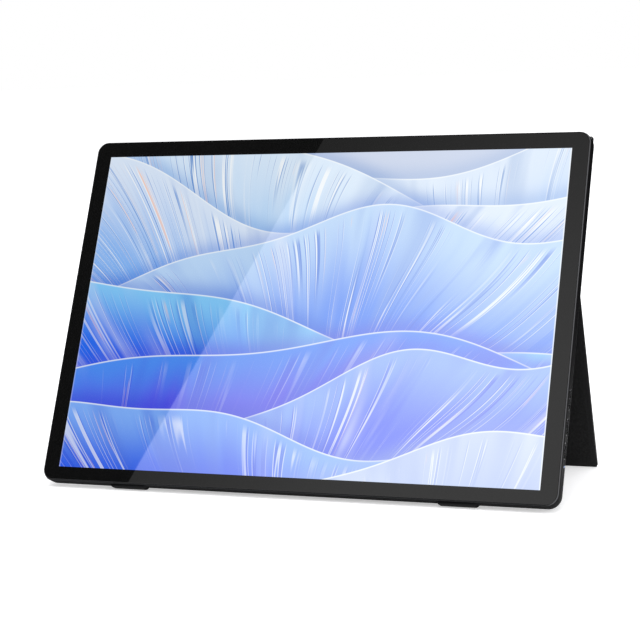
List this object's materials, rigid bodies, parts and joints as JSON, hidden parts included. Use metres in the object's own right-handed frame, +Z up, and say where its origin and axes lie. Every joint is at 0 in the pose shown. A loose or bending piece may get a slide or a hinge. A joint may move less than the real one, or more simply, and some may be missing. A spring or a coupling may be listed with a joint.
{
  "type": "portable monitor",
  "caption": "Flat portable monitor leaning back on rubber feet and a folding rear leaf, with side sockets, side keys, an edge-lit screen stack and friction hinges.",
  "frame": {"origin": "on the floor, under the middle of the standing monitor's box", "axes": "+X to the viewer's right along the screen, -Y out of the screen towards the viewer, +Z up"},
  "size_m": [0.3058, 0.1096, 0.1861],
  "materials": {
    "clear_glass": "polished",
    "border_print": "black print",
    "clear_layer": "clear adhesive",
    "tape": "foam tape",
    "lit_cell": "lit screen",
    "polariser": "film",
    "film_white": "diffusing film",
    "guide_clear": "clear acrylic",
    "led_board": "leds on a strip",
    "frame_plastic": "moulded",
    "tray_metal": "bare sheet",
    "foil_amber": "flexible circuit",
    "board_green": "circuit board",
    "chip_black": "moulded package",
    "dark_frame": "satin black",
    "dark_shell": "fine matt black",
    "steel": "plated",
    "black_steel": "blackened",
    "plate_board": "sheet",
    "skin": "fine grained",
    "lining": "fine grained",
    "foot_rubber": "matt",
    "tongue_black": "moulded",
    "light_clear": "clear pipe",
    "cable_white": "flat cable",
    "wire_black": "insulated wire",
    "pad_grey": "thermal pad",
    "key_black": "satin"
  },
  "bodies": {
    "display": {"cover_glass": "clear_glass", "border_mask": "border_print", "optical_adhesive": "clear_layer", "glass_gasket": "tape", "polarisers": "polariser", "lcd_cell": "lit_cell", "driver_chips": "chip_black", "panel_foil": "foil_amber", "diffuser_film": "film_white", "prism_films": "film_white", "light_guide": "guide_clear", "reflector_sheet": "film_white", "led_strip": "led_board", "panel_frame": "frame_plastic", "panel_tray": "tray_metal", "panel_board": "board_green", "panel_board_parts": "chip_black", "side_frame": "dark_frame", "rear_shell": "dark_shell", "case_screws": "black_steel", "main_board": "board_green", "board_screws": "steel", "processor_chip": "chip_black", "shield_can": "tray_metal", "thermal_pads": "pad_grey", "board_parts": "chip_black", "display_cable": "cable_white", "hdmi_shell": "steel", "hdmi_tongue": "tongue_black", "usb_shell_upper": "steel", "usb_shell_lower": "steel", "usb_tongues": "tongue_black", "status_light": "light_clear", "key_board": "board_green", "key_switches": "steel", "key_cable": "cable_white", "rocker_pin": "steel", "speaker_right": "frame_plastic", "speaker_left": "frame_plastic", "speaker_wires": "wire_black", "foot_left": "foot_rubber", "foot_right": "foot_rubber", "closing_plates": "steel", "plate_core": "plate_board", "plate_skin": "skin", "plate_tape": "tape", "hinge_brackets": "black_steel", "hinge_pins": "steel", "friction_washers": "steel", "hinge_screws": "steel"},
    "power_key": {"power_key": "key_black"},
    "menu_rocker": {"menu_rocker": "key_black"},
    "leaf": {"leaf_core": "plate_board", "leaf_outer_skin": "skin", "leaf_inner_skin": "lining", "leaf_brackets": "black_steel", "leaf_screws": "steel", "leaf_magnets": "steel", "leaf_grip_strip": "foot_rubber"}
  },
  "joints": [
    {"name": "stand_hinge", "type": "hinge", "parent": "display", "child": "leaf", "pos_m": [0.0002, 0.01075, 0.10424], "axis": [1, 0, 0], "range_deg": [-41.5, 63.5]},
    {"name": "power_press", "type": "slide", "parent": "display", "child": "power_key", "axis": [1, 0, 0], "range_m": [0, 0.0003], "stiffness_N_per_m": 3000},
    {"name": "menu_tilt", "type": "hinge", "parent": "display", "child": "menu_rocker", "pos_m": [-0.15007, -0.02688, 0.0462], "axis": [0, 0.8752, -0.4837], "range_deg": [-2.5, 2.5], "stiffness_Nm_per_rad": 0.15}
  ]
}
